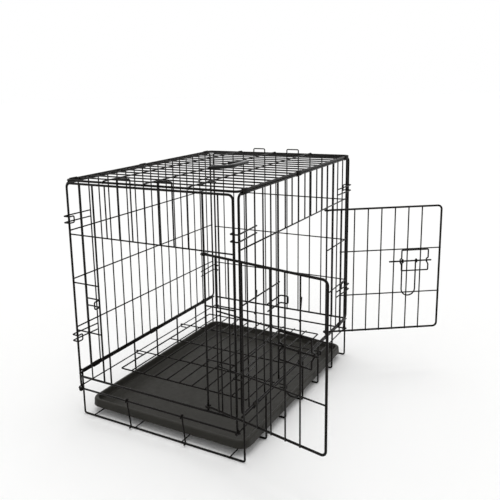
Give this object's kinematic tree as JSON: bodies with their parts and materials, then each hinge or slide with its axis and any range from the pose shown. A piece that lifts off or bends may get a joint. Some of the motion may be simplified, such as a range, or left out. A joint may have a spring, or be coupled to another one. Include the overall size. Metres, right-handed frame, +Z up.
{
  "type": "folding wire dog cage",
  "caption": "Wire dog cage with hinged front and side doors, sliding bolts, pull-out tray with wire stops, stowed divider and folding carry handle.",
  "frame": {"origin": "on the ground, in the middle of the cage without its open doors: on the flat underside of the base's middle cross wire", "axes": "+Z up, +Y from the front door's end to the back end, +X towards the side door"},
  "size_m": [0.6728, 0.7152, 0.5766],
  "materials": {
    "wire": "glossy black coat on steel wire",
    "clip": "glossy black bent sheet steel",
    "tray": "dark grey moulded plastic, satin",
    "carry_handle": "black moulded plastic"
  },
  "bodies": {
    "cage": {"base_basket": "wire", "left_side_panel": "wire", "right_side_panel": "wire", "front_end_panel": "wire", "back_end_panel": "wire", "top_panel": "wire", "divider_panel": "wire", "left_rim_clip_front": "clip", "left_rim_clip_middle": "clip", "left_rim_clip_back": "clip", "left_top_clip_front": "clip", "left_top_clip_middle": "clip", "left_top_clip_back": "clip", "right_rim_clip_front": "clip", "right_rim_clip_middle": "clip", "right_rim_clip_back": "clip", "right_top_clip_front": "clip", "right_top_clip_middle": "clip", "right_top_clip_back": "clip"},
    "tray": {"tray": "tray"},
    "front_left_stop": {"front_left_tray_stop": "wire"},
    "front_right_stop": {"front_right_tray_stop": "wire"},
    "back_left_stop": {"back_left_tray_stop": "wire"},
    "back_right_stop": {"back_right_tray_stop": "wire"},
    "front_door": {"front_door": "wire"},
    "front_bolt": {"front_bolt": "wire"},
    "front_bolt_handle": {"front_bolt_handle": "wire"},
    "side_door": {"side_door": "wire"},
    "side_bolt": {"side_bolt": "wire"},
    "side_bolt_handle": {"side_bolt_handle": "wire"},
    "carry_handle": {"carry_handle": "carry_handle"}
  },
  "joints": [
    {"name": "tray_slide", "type": "slide", "parent": "cage", "child": "tray", "axis": [0, 1, 0], "range_m": [0, 0.46]},
    {"name": "front_left_stop_swing", "type": "hinge", "parent": "cage", "child": "front_left_stop", "pos_m": [-0.0735, -0.3183, 0.0735], "axis": [-1, 0, 0], "range_deg": [0, 177.3]},
    {"name": "back_left_stop_swing", "type": "hinge", "parent": "cage", "child": "back_left_stop", "pos_m": [-0.0735, 0.3183, 0.0735], "axis": [1, 0, 0], "range_deg": [-177.3, 0]},
    {"name": "front_right_stop_swing", "type": "hinge", "parent": "cage", "child": "front_right_stop", "pos_m": [0.0735, -0.3183, 0.0735], "axis": [-1, 0, 0], "range_deg": [0, 177.3]},
    {"name": "back_right_stop_swing", "type": "hinge", "parent": "cage", "child": "back_right_stop", "pos_m": [0.0735, 0.3183, 0.0735], "axis": [1, 0, 0], "range_deg": [-177.3, 0]},
    {"name": "front_door_hinge", "type": "hinge", "parent": "cage", "child": "front_door", "pos_m": [0.13793, -0.31425, 0.2746], "axis": [0, 0, 1], "range_deg": [-166.6, 0]},
    {"name": "front_bolt_slide", "type": "slide", "parent": "front_door", "child": "front_bolt", "axis": [0.9789, -0.2045, 0], "range_m": [0, 0.019]},
    {"name": "front_bolt_handle_lift", "type": "hinge", "parent": "front_bolt", "child": "front_bolt_handle", "pos_m": [0.34041, -0.35175, 0.2926], "axis": [0.9789, -0.2045, 0], "range_deg": [0, 150]},
    {"name": "side_door_hinge", "type": "hinge", "parent": "cage", "child": "side_door", "pos_m": [0.21055, 0.16428, 0.2799], "axis": [0, 0, 1], "range_deg": [-124.4, 40]},
    {"name": "side_bolt_slide", "type": "slide", "parent": "side_door", "child": "side_bolt", "axis": [0.809, 0.5878, 0], "range_m": [0, 0.019]},
    {"name": "side_bolt_handle_lift", "type": "hinge", "parent": "side_bolt", "child": "side_bolt_handle", "pos_m": [0.38743, 0.29859, 0.2979], "axis": [0.809, 0.5878, 0], "range_deg": [0, 150]},
    {"name": "carry_handle_flip", "type": "hinge", "parent": "cage", "child": "carry_handle", "pos_m": [0, 0, 0.56715], "axis": [0, 1, 0], "range_deg": [-169, 0]}
  ]
}
